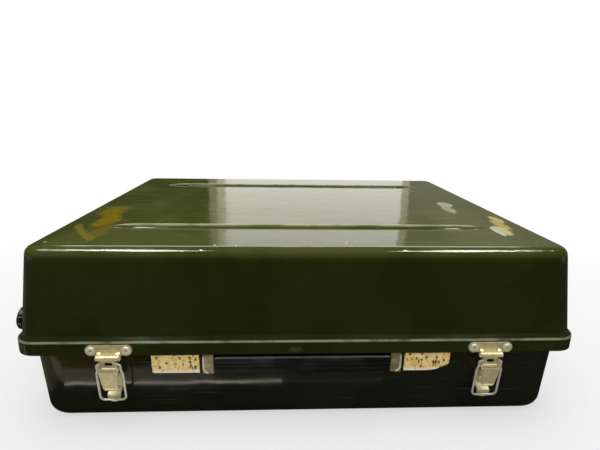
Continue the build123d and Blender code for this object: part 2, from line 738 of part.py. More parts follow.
pad_start = loop_spacing / 2 + loop_width / 2 + strap_slack
for side, sign in sides:
    loop_x = sign * loop_spacing / 2
    loop_plane = side_of(front_wall(loop_x, handle_z))
    loop_out = strap_lift + strap_thickness + 3 * running_gap
    inside_out = -shell_wall - backing_thickness

    with BuildPart() as handle_loop:
        with BuildSketch(loop_plane):
            leg_far = loop_inside / 2 + loop_strip
            with Locations(((loop_out + loop_strip + inside_out) / 2, 0)):
                Rectangle(loop_out + loop_strip - inside_out, 2 * leg_far)
            with Locations(((loop_out + inside_out - loop_strip) / 2, 0)):
                Rectangle(loop_out - inside_out + loop_strip, loop_inside, mode=Mode.SUBTRACT)
            for up in (-1, 1):
                with Locations((inside_out - loop_strip / 2, up * (leg_far - loop_strip / 2
                                                                  + loop_foot / 2))):
                    Rectangle(loop_strip, loop_strip + loop_foot)
        extrude(amount=loop_width / 2, both=True)
        fillet(handle_loop.edges().filter_by(Axis.X).group_by(Axis.Y)[0], radius=loop_round)
    save(handle_loop.part, f"handle_loop_{side}")

    with BuildPart() as loop_backing:
        with BuildSketch(front_wall(loop_x, handle_z).offset(-shell_wall)):
            RectangleRounded(loop_width + loop_backing_margin[0],
                             loop_inside + loop_backing_margin[1], backing_corner)
            with GridLocations(0, 2 * loop_leg_up, 1, 2):
                Rectangle(loop_width + running_gap, loop_strip + running_gap,
                          mode=Mode.SUBTRACT)
        extrude(amount=-backing_thickness)
    save(loop_backing.part, f"loop_backing_{side}")

    with BuildPart() as strap_end:
        start = grip_length / 2 + 2 * running_gap
        length = pad_start + pad_length - start
        with BuildSketch(handle_plane.offset(strap_lift)):
            with Locations((sign * (start + length / 2), 0)):
                Rectangle(length, strap_height)
        extrude(amount=strap_thickness)
    save(strap_end.part, f"strap_end_{side}")

    with BuildPart() as strap_pad:
        with BuildSketch(handle_plane.offset(strap_lift + strap_thickness)):
            with BuildLine():
                pad_end = sign * (pad_start + pad_length)
                slope_length, slope_rise, top_lean = pad_cut[side]
                Polyline((sign * pad_start, pad_height / 2), (pad_end, pad_height / 2),
                         (pad_end - sign * top_lean, slope_rise - pad_height / 2),
                         (pad_end - sign * slope_length, -pad_height / 2),
                         (sign * pad_start, -pad_height / 2), close=True)
            make_face()
            fillet(vertices().group_by(Axis.Y)[0] + vertices().group_by(Axis.Y)[1],
                   radius=pad_round)
        extrude(amount=pad_thickness)
    save(strap_pad.part, f"strap_pad_{side}")

# Breather: threaded stem clamped through the lid wall, with a fluted cap that turns on it
with BuildPart() as vent_stem_part:
    stem_inside = shell_wall + vent_washer_thickness + vent_nut_height + vent_stem_spare
    with BuildSketch(vent_plane.offset(-stem_inside)):
        Circle(vent_stem)
    extrude(amount=vent_stem_length)
    with BuildSketch(vent_plane.offset(-stem_inside)):
        Circle(vent_stem / 2)
    extrude(amount=vent_stem_length - vent_stem_end, mode=Mode.SUBTRACT)
save(vent_stem_part.part, "vent_stem")

with BuildPart() as vent_washer_part:
    with BuildSketch(vent_plane.offset(-shell_wall)):
        Circle(vent_washer)
        Circle(vent_stem + pin_clearance, mode=Mode.SUBTRACT)
    extrude(amount=-vent_washer_thickness)
save(vent_washer_part.part, "vent_washer")

with BuildPart() as vent_nut_part:
    with BuildSketch(vent_plane.offset(-shell_wall - vent_washer_thickness)):
        RegularPolygon(vent_nut, 6)
        Circle(vent_stem + pin_clearance, mode=Mode.SUBTRACT)
    extrude(amount=-vent_nut_height)
save(vent_nut_part.part, "vent_nut")

with BuildPart() as vent_cap_part:
    with BuildSketch(vent_plane.offset(vent_cap_stand_off)):
        Circle(vent_cap)
    extrude(amount=vent_cap_height)
    fillet(vent_cap_part.edges().group_by(Axis.X)[0], radius=vent_cap_round)
    with BuildSketch(vent_plane.offset(vent_cap_stand_off)):
        with PolarLocations(vent_cap + vent_flute / 2, vent_flutes):
            Circle(vent_flute)
    extrude(amount=vent_cap_height, mode=Mode.SUBTRACT)
    with BuildSketch(vent_plane.offset(vent_cap_stand_off)):
        Circle(vent_stem + pin_clearance)
    extrude(amount=vent_stem_length - stem_inside - vent_cap_stand_off + running_gap,
            mode=Mode.SUBTRACT)
save(vent_cap_part.part, "vent_cap")
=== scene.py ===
# %% [markdown]
# # A fibreglass transport case
# The case is a tapered tub with a deep lid whose skirt laps over it. Its exact shape was made in
# CAD, and it comes in here as a fixed frame. Blender's part is the looks: a gloss olive gel coat
# with scuffs and old paint, plated latches, a ribbed grip and leather pads, and studio light.

# %% Load the frame
import math
import bpy
from mathutils import Matrix, Vector


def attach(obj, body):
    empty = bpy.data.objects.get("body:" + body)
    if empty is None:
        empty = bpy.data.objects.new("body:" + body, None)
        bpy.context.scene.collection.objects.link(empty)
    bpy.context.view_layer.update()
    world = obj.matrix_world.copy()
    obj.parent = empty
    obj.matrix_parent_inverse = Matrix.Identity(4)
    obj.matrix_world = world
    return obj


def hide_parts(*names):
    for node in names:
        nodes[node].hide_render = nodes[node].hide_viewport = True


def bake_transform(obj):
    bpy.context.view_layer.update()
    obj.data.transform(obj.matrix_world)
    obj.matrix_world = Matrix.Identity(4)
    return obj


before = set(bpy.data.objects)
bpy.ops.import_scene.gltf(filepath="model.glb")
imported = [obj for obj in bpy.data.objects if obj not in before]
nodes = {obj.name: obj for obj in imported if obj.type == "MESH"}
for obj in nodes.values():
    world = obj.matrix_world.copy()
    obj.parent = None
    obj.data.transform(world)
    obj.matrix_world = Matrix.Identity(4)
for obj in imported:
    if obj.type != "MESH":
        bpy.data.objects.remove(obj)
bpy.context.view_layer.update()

# %% [markdown]
# ## Camera
# The photograph was taken from a little above the lid, slightly left of the middle and close by,
# so the near corners look stretched. The focal length, the place and three angles were fitted to
# the outline of the case. Yaw, pitch and roll turn an upright camera that looks along +Y.

# %% Set the camera
focal_pixels = 440.0
frame_pixels = 600.0
sensor_width = 36.0
camera_place = Vector((-0.0255, -0.6323, 0.3173))
camera_yaw = math.radians(-2.89)
camera_pitch = math.radians(14.61)
camera_roll = math.radians(1.0)

camera_data = bpy.data.cameras.new("camera")
camera_data.sensor_width = sensor_width
camera_data.lens = sensor_width * focal_pixels / frame_pixels
camera = bpy.data.objects.new("camera", camera_data)
bpy.context.scene.collection.objects.link(camera)
camera.matrix_world = (
    Matrix.Translation(camera_place)
    @ Matrix.Rotation(camera_yaw, 4, "Z")
    @ Matrix.Rotation(math.pi / 2 - camera_pitch, 4, "X")
    @ Matrix.Rotation(camera_roll, 4, "Z")
)
bpy.context.scene.camera = camera
bpy.context.scene.view_settings.view_transform = "Standard"
print("lens", round(camera_data.lens, 2), "mm")

# %% [markdown]
# ## Shader helpers
# A material is a small graph of nodes. These helpers keep the graphs short: one turns an 8-bit
# screen colour into the linear numbers that Blender works in, one adds a node and sets its
# sockets, and the others make the nodes that are used most: a sum or product, a blend of two
# colours and a smooth ramp. Each socket takes a plain value or another node's output.

# %% Helpers for colours and nodes
def srgb(red, green, blue):
    """Linear RGBA from a colour as seen on a screen, each channel 0 to 255."""
    channels = [c / 255 for c in (red, green, blue)]
    linear = [c / 12.92 if c <= 0.04045 else ((c + 0.055) / 1.055) ** 2.4 for c in channels]
    return (*linear, 1.0)


def feed(tree, socket, value):
    """Link an output to a socket, or set the socket's own value."""
    if isinstance(value, bpy.types.NodeSocket):
        tree.links.new(value, socket)
    else:
        socket.default_value = value


def add(tree, kind, settings=None, **sockets):
    """Add a node, set its options, and feed the sockets named with underscores for spaces."""
    node = tree.nodes.new(kind)
    for key, value in (settings or {}).items():
        setattr(node, key, value)
    for key, value in sockets.items():
        feed(tree, node.inputs[key.replace("_", " ")], value)
    return node


def maths(tree, operation, first, second=0.0):
    """One maths node, and its result."""
    node = tree.nodes.new("ShaderNodeMath")
    node.operation = operation
    feed(tree, node.inputs[0], first)
    feed(tree, node.inputs[1], second)
    return node.outputs[0]


def mix_colour(tree, factor, first, second):
    """Blend two colours by a mask, and give the result."""
    node = tree.nodes.new("ShaderNodeMix")
    node.data_type = "RGBA"
    feed(tree, node.inputs[0], factor)
    feed(tree, node.inputs[6], first)
    feed(tree, node.inputs[7], second)
    return node.outputs[2]


def step_up(tree, value, low, high, to_low=0.0, to_high=1.0):
    """Smooth ramp of a value from low to high, as a mask or as a range of values."""
    node = add(tree, "ShaderNodeMapRange", {"interpolation_type": "SMOOTHSTEP"}, Value=value)
    for index, number in enumerate((low, high, to_low, to_high), start=1):
        feed(tree, node.inputs[index], number)
    return node.outputs[0]


# %% [markdown]
# ## Shared surface effects
# Scratches, patches, specks and clouds show on many finishes of this case, so each one is a node
# group: it is built once and placed in each material with its own size and strength. A group
# gives only a mask, and the shader itself stays in the material.

# %% Node group helpers
VECTOR = "NodeSocketVector"
FLOAT = "NodeSocketFloat"


def new_group(name, inputs, outputs):
    """Empty shader node group with named sockets, and its two end nodes."""
    group = bpy.data.node_groups.new(name, "ShaderNodeTree")
    for socket_name, kind, default in inputs:
        socket = group.interface.new_socket(socket_name, in_out="INPUT", socket_type=kind)
        socket.default_value = default
    for socket_name in outputs:
        group.interface.new_socket(socket_name, in_out="OUTPUT", socket_type=FLOAT)
    start = group.nodes.new("NodeGroupInput")
    end = group.nodes.new("NodeGroupOutput")
    print("group", name, [socket.name for socket in group.interface.items_tree])
    return group, start, end


def place_group(tree, group, **sockets):
    """Put a group in a material, feed its inputs, and give its outputs by name."""
    node = tree.nodes.new("ShaderNodeGroup")
    node.node_tree = group
    for key, value in sockets.items():
        feed(tree, node.inputs[key], value)
    return node.outputs


# %% [markdown]
# Scratches are noise that is stretched a long way in one direction and almost not at all in the
# other two. Only its peaks are kept, so that single hairlines stand out from a clean surface.

# %% Group: fine scratches
scratches, start, end = new_group(
    "fine_scratches",
    [("Place", VECTOR, (0, 0, 0)), ("Frequency", VECTOR, (20, 1500, 1500)), ("Amount", FLOAT, 0.5)],
    ["Mask"],
)
stretched = add(scratches, "ShaderNodeVectorMath", {"operation": "MULTIPLY"})
scratches.links.new(start.outputs["Place"], stretched.inputs[0])
scratches.links.new(start.outputs["Frequency"], stretched.inputs[1])
hairs = add(scratches, "ShaderNodeTexNoise", Vector=stretched.outputs[0], Scale=1.0, Detail=3.0,
            Roughness=0.6)
amount = maths(scratches, "MULTIPLY", start.outputs["Amount"], 0.4)
threshold = maths(scratches, "SUBTRACT", 0.85, amount)
kept = step_up(scratches, hairs.outputs[0], threshold, maths(scratches, "ADD", threshold, 0.08))
scratches.links.new(kept, end.inputs["Mask"])

# %% [markdown]
# A patch is a place where paint was scraped off or an old layer shows. It is the inside of an
# ellipsoid whose distance is disturbed by noise, so that its outline is ragged like real wear.

# %% Group: ragged patch
patch, start, end = new_group(
    "ragged_patch",
    [("Place", VECTOR, (0, 0, 0)), ("Centre", VECTOR, (0, 0, 0)), ("Size", VECTOR, (0.03,) * 3),
     ("Raggedness", FLOAT, 0.6), ("Grain", FLOAT, 60.0), ("Softness", FLOAT, 0.08)],
    ["Mask"],
)
offset = add(patch, "ShaderNodeVectorMath", {"operation": "SUBTRACT"})
patch.links.new(start.outputs["Place"], offset.inputs[0])
patch.links.new(start.outputs["Centre"], offset.inputs[1])
relative = add(patch, "ShaderNodeVectorMath", {"operation": "DIVIDE"})
patch.links.new(offset.outputs[0], relative.inputs[0])
patch.links.new(start.outputs["Size"], relative.inputs[1])
distance = add(patch, "ShaderNodeVectorMath", {"operation": "LENGTH"})
patch.links.new(relative.outputs[0], distance.inputs[0])
noise = add(patch, "ShaderNodeTexNoise", Detail=5.0, Roughness=0.65)
patch.links.new(start.outputs["Place"], noise.inputs["Vector"])
patch.links.new(start.outputs["Grain"], noise.inputs["Scale"])
shift = maths(patch, "MULTIPLY", maths(patch, "SUBTRACT", noise.outputs[0], 0.5),
              maths(patch, "MULTIPLY", start.outputs["Raggedness"], 3.0))
outline = maths(patch, "ADD", distance.outputs["Value"], shift)
inside = step_up(patch, outline, 1.0, maths(patch, "SUBTRACT", 1.0, start.outputs["Softness"]))
patch.links.new(inside, end.inputs["Mask"])

# %% [markdown]
# Specks are small dark or light dots scattered without order: pits in leather, dirt on metal,
# chips in gel coat. A Voronoi texture gives one point per cell, a random number per cell decides
# which points are used, and the distance to the point makes the dot.

# %% Group: scattered specks
specks, start, end = new_group(
    "scattered_specks",
    [("Place", VECTOR, (0, 0, 0)), ("Frequency", FLOAT, 200.0), ("Radius", FLOAT, 0.3),
     ("Share", FLOAT, 0.3)],
    ["Mask"],
)
wobble = add(specks, "ShaderNodeTexNoise", Detail=2.0)
specks.links.new(start.outputs["Place"], wobble.inputs["Vector"])
feed(specks, wobble.inputs["Scale"], maths(specks, "MULTIPLY", start.outputs["Frequency"], 2.0))
wobble_reach = 0.002
bend = add(specks, "ShaderNodeVectorMath", {"operation": "MULTIPLY_ADD"})
specks.links.new(wobble.outputs["Color"], bend.inputs[0])
feed(specks, bend.inputs[1], (wobble_reach,) * 3)
specks.links.new(start.outputs["Place"], bend.inputs[2])
cells = add(specks, "ShaderNodeTexVoronoi", Vector=bend.outputs[0])
specks.links.new(start.outputs["Frequency"], cells.inputs["Scale"])
lottery = add(specks, "ShaderNodeSeparateColor", Color=cells.outputs["Color"])
chosen = maths(specks, "LESS_THAN", lottery.outputs[0], start.outputs["Share"])
size = maths(specks, "MULTIPLY", start.outputs["Radius"],
             maths(specks, "ADD", 0.4, lottery.outputs[1]))
dot = step_up(specks, cells.outputs["Distance"], size, maths(specks, "MULTIPLY", size, 0.6))
feed(specks, end.inputs["Mask"], maths(specks, "MULTIPLY", dot, chosen))

# %% [markdown]
# Gel coat on glass fibre is never quite flat: the fabric below prints through as a slow wave.
# Cloudiness is a slow noise for colour shifts and for that unevenness.

# %% Group: cloudiness
clouds, start, end = new_group(
    "cloudiness",
    [("Place", VECTOR, (0, 0, 0)), ("Frequency", FLOAT, 8.0), ("Low", FLOAT, 0.35),
     ("High", FLOAT, 0.65)],
    ["Mask"],
)
slow = add(clouds, "ShaderNodeTexNoise", Detail=4.0, Roughness=0.55)
clouds.links.new(start.outputs["Place"], slow.inputs["Vector"])
clouds.links.new(start.outputs["Frequency"], slow.inputs["Scale"])
spread = step_up(clouds, slow.outputs[0], start.outputs["Low"], start.outputs["High"])
feed(clouds, end.inputs["Mask"], spread)

# %% [markdown]
# Both shells are hollow, and each is one node, so one material has to serve outside and inside.
# A face is an inner one where its normal points back towards the middle of the shell, which the
# dot product of the two directions tells. There the gloss, the wear and the stains stop.

# %% Group: inner face
inner_face, start, end = new_group(
    "inner_face",
    [("Place", VECTOR, (0, 0, 0)), ("Normal", VECTOR, (0, 0, 1)), ("Centre", VECTOR, (0, 0, 0))],
    ["Mask"],
)
inward_from, inward_to = -0.004, -0.012
outwards = add(inner_face, "ShaderNodeVectorMath", {"operation": "SUBTRACT"})
inner_face.links.new(start.outputs["Place"], outwards.inputs[0])
inner_face.links.new(start.outputs["Centre"], outwards.inputs[1])
facing = add(inner_face, "ShaderNodeVectorMath", {"operation": "DOT_PRODUCT"})
inner_face.links.new(outwards.outputs[0], facing.inputs[0])
inner_face.links.new(start.outputs["Normal"], facing.inputs[1])
feed(inner_face, end.inputs["Mask"],
     step_up(inner_face, facing.outputs["Value"], inward_from, inward_to))

# %% [markdown]
# ## Starting a material
# Every material begins with a Principled shader and the surface position in object coordinates,
# which are the case's own metres here. Most also get fine relief: it could be modelled, but it is
# far finer than the mesh, so a Bump node bends the normals instead.

# %% New material
def new_material(name, **principled):
    """Material with a Principled shader. Gives its tree, shader and object position."""
    material = bpy.data.materials.new(name)
    material.use_nodes = True
    tree = material.node_tree
    shader = tree.nodes["Principled BSDF"]
    for key, value in principled.items():
        feed(tree, shader.inputs[key.replace("_", " ")], value)
    place = tree.nodes.new("ShaderNodeTexCoord").outputs["Object"]
    print("material", name)
    return material, tree, shader, place


def relief(tree, shader, height, distance):
    """Feed a height to the shader's normal, with its depth in metres."""
    bump = add(tree, "ShaderNodeBump", Height=height, Distance=distance, Strength=1.0)
    tree.links.new(bump.outputs["Normal"], shader.inputs["Normal"])


def set_finish(material, *names):
    """Give nodes of the CAD model one material."""
    for name in names:
        slots = nodes[name].data.materials
        slots.clear()
        slots.append(material)


# %% [markdown]
# ## Laminate
# Inside, both shells show the bare back of the laminate: bundles of glass fibre under a thin skin
# of resin, rougher and duller than the gel coat. The photograph doesn't show it, so it is a plain
# guess. The edges of Voronoi cells stand for the bundles, because they meet as crossing fibres do.

# %% Laminate on the inner faces
laminate_roughness = 0.42
fibre_frequency = 170.0
fibre_height = 0.9
shell_relief = 0.00038


def laminate(tree, shader, place, centre, colour, roughness, height, inside_colours):
    """Show the rough laminate on inner faces, and the given finish on the others."""
    normal = tree.nodes.new("ShaderNodeTexCoord").outputs["Normal"]
    mask = place_group(tree, inner_face, Place=place, Normal=normal, Centre=centre)["Mask"]
    fibres = add(tree, "ShaderNodeTexVoronoi", {"feature": "DISTANCE_TO_EDGE"}, Vector=place,
                 Scale=fibre_frequency)
    tone = place_group(tree, clouds, Place=place, Frequency=30.0)["Mask"]
    colour = mix_colour(tree, mask, colour, mix_colour(tree, tone, *inside_colours))
    feed(tree, shader.inputs["Base Color"], colour)
    outside = maths(tree, "SUBTRACT", 1.0, mask)
    outer_part = maths(tree, "MULTIPLY", roughness, outside)
    inner_part = maths(tree, "MULTIPLY", mask, laminate_roughness)
    feed(tree, shader.inputs["Roughness"], maths(tree, "ADD", outer_part, inner_part))
    outer_part = maths(tree, "MULTIPLY", height, outside)
    inner_part = maths(tree, "MULTIPLY", fibres.outputs["Distance"],
                       maths(tree, "MULTIPLY", mask, fibre_height))
    relief(tree, shader, maths(tree, "ADD", outer_part, inner_part), shell_relief)


# %% [markdown]
# ## Lid: olive gel coat
# The lid is glossy olive. Its top is painted a lighter and yellower olive: painted light, for the
# stronger light that falls on the top. Years of handling show on it: hairlines along its length, an
# ochre stain, a tan streak and pale scraped patches near the ends, small pale chips along the front
# edge, a scuff in the middle of the rim, and pale paint on the ridges and along the edge of the
# flare, partly wear and partly a painted highlight. Patches could be cut from an image, but as
# ragged ellipsoids they need none and stay sharp. Places are in metres, judged one by one.

# %% Lid material
olive = srgb(36, 41, 13)
olive_light = srgb(41, 47, 16)
# The top's two olives are painted light: paler shades of the wall olive, for the stronger light on
# the top.
lit_top_olive = srgb(68, 77, 21)
lit_top_olive_pale = srgb(83, 89, 37)
lid_top = 0.187
lit_top_start = 0.1735
ridge_foot, ridge_crown = 0.1880, 0.1897
rim_edge = 0.0945
lid_centre = (0.0, 0.0, 0.081)
lid_paint, tree, shader, place = new_material("lid_gel_coat", Roughness=0.12, IOR=1.5)
position = add(tree, "ShaderNodeSeparateXYZ", Vector=place)
_, y_of, z_of = position.outputs
cloud = place_group(tree, clouds, Place=place, Frequency=9.0, Low=0.42, High=0.60)["Mask"]
# Painted light: towards the top the colour blends into the lighter olive, for the light from above.
lit_top_share = step_up(tree, z_of, lit_top_start, lid_top)
colour = mix_colour(tree, lit_top_share, mix_colour(tree, cloud, olive, olive_light),
                    mix_colour(tree, cloud, lit_top_olive, lit_top_olive_pale))
lid_patches = [
    # centre, half size, colour, raggedness, grain, softness
    ((-0.238, -0.066, lid_top), (0.020, 0.040, 0.02), srgb(128, 112, 4), 0.45, 40.0, 0.7),
    ((-0.229, -0.112, lid_top), (0.017, 0.044, 0.02), srgb(132, 112, 8), 0.45, 50.0, 0.5),
    ((-0.218, -0.166, lid_top), (0.012, 0.038, 0.02), srgb(112, 102, 14), 0.60, 60.0, 0.6),
    ((0.218, -0.012, lid_top), (0.011, 0.020, 0.01), srgb(178, 182, 152), 0.35, 60.0, 0.25),
    ((0.212, -0.042, lid_top), (0.008, 0.030, 0.01), srgb(164, 170, 134), 0.45, 90.0, 0.35),
    ((0.251, -0.102, lid_top), (0.007, 0.022, 0.01), srgb(200, 186, 118), 0.35, 90.0, 0.3),
    ((0.243, -0.128, lid_top), (0.008, 0.025, 0.01), srgb(196, 166, 76), 0.40, 90.0, 0.3),
    ((0.233, -0.152, lid_top), (0.009, 0.023, 0.01), srgb(208, 198, 148), 0.40, 90.0, 0.3),
    ((0.225, -0.158, lid_top), (0.004, 0.020, 0.01), srgb(210, 210, 184), 0.40, 90.0, 0.3),
]
tan_streak = [(-0.251, -0.138), (-0.250, -0.143), (-0.248, -0.148), (-0.245, -0.153),
              (-0.242, -0.158), (-0.239, -0.163), (-0.235, -0.169), (-0.231, -0.175),
              (-0.226, -0.181), (-0.221, -0.187), (-0.216, -0.193)]
streak_size = (0.0050, 0.0080, 0.02)
for streak_x, streak_y in tan_streak:
    lid_patches.append(((streak_x, streak_y, lid_top), streak_size, srgb(126, 114, 34),
                        0.30, 70.0, 0.6))
for centre, half_size, paint, raggedness, grain, softness in lid_patches:
    mask = place_group(tree, patch, Place=place, Centre=centre, Size=half_size,
                       Raggedness=raggedness, Grain=grain, Softness=softness)["Mask"]
    colour = mix_colour(tree, mask, colour, paint)
hairlines = place_group(tree, scratches, Place=place, Frequency=(9.0, 420.0, 420.0),
                        Amount=0.55)["Mask"]
on_top = step_up(tree, z_of, 0.182, 0.1865)
hairlines = maths(tree, "MULTIPLY", hairlines, step_up(tree, on_top, 0.0, 1.0, 0.25, 1.0))
hair_strength = step_up(tree, on_top, 0.0, 1.0, 0.04, 0.16)
colour = mix_colour(tree, maths(tree, "MULTIPLY", hairlines, hair_strength), colour,
                    srgb(132, 138, 92))
chips = place_group(tree, specks, Place=place, Frequency=90.0, Radius=0.16, Share=0.16)["Mask"]
near_top_edge = step_up(tree, z_of, 0.178, 0.186)
toward_rim = step_up(tree, y_of, -0.190, -0.212)
chip_mask = maths(tree, "MULTIPLY", chips, maths(tree, "MULTIPLY", near_top_edge, toward_rim))
colour = mix_colour(tree, chip_mask, colour, srgb(214, 214, 190))
scuff = place_group(tree, patch, Place=place, Centre=(-0.008, -0.243, 0.086),
                    Size=(0.010, 0.010, 0.005), Raggedness=0.8, Grain=260.0,
                    Softness=0.6)["Mask"]
colour = mix_colour(tree, maths(tree, "MULTIPLY", scuff, 0.30), colour, srgb(104, 112, 78))
# Pale paint on the ridge crowns and along the edge of the flare: partly wear, partly a painted
# highlight.
wear_and_highlight_spread = place_group(tree, clouds, Place=place, Frequency=38.0, Low=0.30, High=0.62)["Mask"]
crown = step_up(tree, z_of, ridge_foot, ridge_crown)
rim_height = maths(tree, "ABSOLUTE", maths(tree, "SUBTRACT", z_of, rim_edge))
rim_line = step_up(tree, rim_height, 0.0015, 0.0004, 0.0, 0.60)
wear_and_highlight = maths(tree, "MAXIMUM", maths(tree, "MULTIPLY", crown, 0.50), rim_line)
wear_and_highlight = maths(tree, "MULTIPLY", wear_and_highlight, step_up(tree, wear_and_highlight_spread, 0.0, 1.0, 0.35, 1.0))
colour = mix_colour(tree, wear_and_highlight, colour, srgb(184, 188, 146))
gloss = maths(tree, "ADD", maths(tree, "MULTIPLY", hairlines, 0.26),
              maths(tree, "MULTIPLY", cloud, 0.05))
gloss = maths(tree, "ADD", gloss, 0.07)
wave = add(tree, "ShaderNodeTexNoise", Vector=place, Scale=22.0, Detail=2.0)
print_through = add(tree, "ShaderNodeTexNoise", Vector=place, Scale=150.0, Detail=1.0)
height = maths(tree, "ADD", wave.outputs[0],
               maths(tree, "MULTIPLY", print_through.outputs[0], 0.06))
height = maths(tree, "SUBTRACT", height, maths(tree, "MULTIPLY", hairlines, 0.08))
laminate(tree, shader, place, lid_centre, colour, gloss, height,
         (srgb(58, 62, 34), srgb(74, 76, 46)))
set_finish(lid_paint, "lid")
print("lid patches", len(lid_patches))

# %% [markdown]
# ## Base tub: gel coat painted dark
# The tub is painted a darker, browner olive than the lid: painted shade, for walls that face down
# under the lid's rim. It is as glossy as the lid, with fine hairlines and a faint brown painted
# reflection toward its left end, which is a ramp along X times a ramp up the wall.

# %% Base material
base_centre = (0.0, 0.0, 0.050)
base_paint, tree, shader, place = new_material("base_gel_coat", Roughness=0.14, IOR=1.5)
position = add(tree, "ShaderNodeSeparateXYZ", Vector=place)
cloud = place_group(tree, clouds, Place=place, Frequency=9.0)["Mask"]
# Painted shade: both tones are darker than the lid's olive, for walls that face down under the rim.
colour = mix_colour(tree, cloud, srgb(24, 26, 15), srgb(31, 33, 20))
# Painted reflection: a faint brown haze on the upper left of the tub stands in for the room
# mirrored in the gloss.
haze = maths(tree, "MULTIPLY", step_up(tree, position.outputs[0], -0.12, -0.25),
             step_up(tree, position.outputs[2], 0.035, 0.06))
colour = mix_colour(tree, maths(tree, "MULTIPLY", haze, 0.8), colour, srgb(52, 46, 20))
hairlines = place_group(tree, scratches, Place=place, Frequency=(18.0, 500.0, 500.0),
                        Amount=0.55)["Mask"]
colour = mix_colour(tree, maths(tree, "MULTIPLY", hairlines, 0.25), colour, srgb(96, 98, 78))
gloss = maths(tree, "ADD", maths(tree, "MULTIPLY", hairlines, 0.15),
              maths(tree, "MULTIPLY", cloud, 0.06))
gloss = maths(tree, "ADD", gloss, 0.10)
wave = add(tree, "ShaderNodeTexNoise", Vector=place, Scale=24.0, Detail=2.0)
laminate(tree, shader, place, base_centre, colour, gloss, wave.outputs[0],
         (srgb(48, 51, 32), srgb(60, 62, 42)))
set_finish(base_paint, "base_tub")


# %% [markdown]
# ## Metals
# The latches look like yellow-passivated steel. The wire bails are whiter, the hinges and the
# loops greyer. All are one recipe, each with its own numbers: a satin metal with fine brush
# lines, dull tarnish in clouds and a few dark specks. It is only part metallic, because under
# plain soft light a full metal comes out darker than the plating in the photograph.

# %% Metal recipe
latch_place = 0.191
rivet_offset = 0.017
rivet_height = 0.0870
metal_share = 0.45


def satin_metal(name, bright, dull, roughness, brush, tarnish=0.5, speck_share=0.25, hole=0.0):
    """Worn satin metal. The brush lines run along the axis with the lowest frequency. A hole
    radius gives the four latch rivets a dark dimple: painted shade for the hollow of the shank."""
    material, tree, shader, place = new_material(name, Metallic=metal_share)
    haze = place_group(tree, clouds, Place=place, Frequency=160.0)["Mask"]
    lines = add(tree, "ShaderNodeVectorMath", {"operation": "MULTIPLY"})
    feed(tree, lines.inputs[0], place)
    feed(tree, lines.inputs[1], brush)
    brushed = add(tree, "ShaderNodeTexNoise", Vector=lines.outputs[0], Scale=1.0, Detail=3.0)
    colour = mix_colour(tree, maths(tree, "MULTIPLY", haze, tarnish), bright, dull)
    streaks = step_up(tree, brushed.outputs[0], 0.35, 0.65, 0.0, 0.35)
    colour = mix_colour(tree, streaks, colour, dull)
    dirt = place_group(tree, specks, Place=place, Frequency=520.0, Radius=0.30,
                       Share=speck_share)["Mask"]
    colour = mix_colour(tree, maths(tree, "MULTIPLY", dirt, 0.55), colour, srgb(70, 58, 34))
    # Painted shade: the hollow of each latch rivet's shank is painted dark.
    if hole:
        spot = add(tree, "ShaderNodeSeparateXYZ", Vector=place)
        from_latch = maths(tree, "SUBTRACT", maths(tree, "ABSOLUTE", spot.outputs[0]), latch_place)
        across = maths(tree, "SUBTRACT", maths(tree, "ABSOLUTE", from_latch), rivet_offset)
        up = maths(tree, "SUBTRACT", spot.outputs[2], rivet_height)
        squares = maths(tree, "ADD", maths(tree, "MULTIPLY", across, across),
                        maths(tree, "MULTIPLY", up, up))
        away = maths(tree, "SQRT", squares)
        painted_hole_shade = step_up(tree, away, hole, 0.6 * hole)
        colour = mix_colour(tree, painted_hole_shade, colour, srgb(48, 40, 24))
    feed(tree, shader.inputs["Base Color"], colour)
    rough = maths(tree, "ADD", maths(tree, "MULTIPLY", brushed.outputs[0], 0.16),
                  maths(tree, "MULTIPLY", dirt, 0.3))
    feed(tree, shader.inputs["Roughness"], maths(tree, "ADD", rough, roughness - 0.08))
    relief(tree, shader, brushed.outputs[0], 0.00006)
    return material


latch_metal = satin_metal("latch_plating", srgb(236, 224, 176), srgb(198, 181, 132), 0.46,
                          (3000.0, 3000.0, 160.0))
wire_metal = satin_metal("wire_plating", srgb(246, 242, 226), srgb(206, 200, 180), 0.34,
                         (1500.0, 1500.0, 1500.0), speck_share=0.1)
rivet_metal = satin_metal("rivet_plating", srgb(252, 250, 230), srgb(232, 226, 194), 0.46,
                          (900.0, 900.0, 900.0), speck_share=0.15)
latch_rivet_metal = satin_metal("latch_rivet_plating", srgb(252, 250, 230), srgb(232, 226, 194),
                                0.46, (900.0, 900.0, 900.0), speck_share=0.15, hole=0.0011)
hinge_metal = satin_metal("hinge_plating", srgb(196, 194, 184), srgb(128, 126, 116), 0.40,
                          (160.0, 3000.0, 3000.0))
loop_metal = satin_metal("loop_plating", srgb(186, 172, 132), srgb(136, 116, 80), 0.55,
                         (3000.0, 3000.0, 200.0), tarnish=0.8)
backing_metal = satin_metal("backing_strip", srgb(214, 214, 214), srgb(176, 176, 174), 0.42,
                            (160.0, 3000.0, 3000.0), speck_share=0.05)

for side in ("left", "right"):
    set_finish(latch_metal, f"latch_plate_{side}", f"latch_link_{side}", f"latch_lever_{side}",
               f"strike_{side}")
    set_finish(wire_metal, f"latch_bail_{side}")
    set_finish(latch_rivet_metal, f"latch_rivets_{side}")
    set_finish(rivet_metal, f"latch_link_pin_{side}",
               f"latch_lever_pin_{side}", f"strike_rivets_{side}")
    set_finish(hinge_metal, f"hinge_lid_leaf_{side}", f"hinge_base_leaf_{side}",
               f"hinge_pin_{side}")
    set_finish(backing_metal, f"hinge_lid_backing_{side}", f"hinge_base_backing_{side}",
               f"latch_backing_{side}", f"strike_backing_{side}", f"loop_backing_{side}")
    set_finish(loop_metal, f"handle_loop_{side}")
set_finish(rivet_metal, "hinge_lid_rivets", "hinge_base_rivets")
set_finish(hinge_metal, "vent_stem", "vent_washer", "vent_nut")

# %% [markdown]
# ## Rubber and plastic
# The grip and the rim seal are black rubber, dull with a little grey dust. The breather cap is
# moulded plastic with a fine grain.

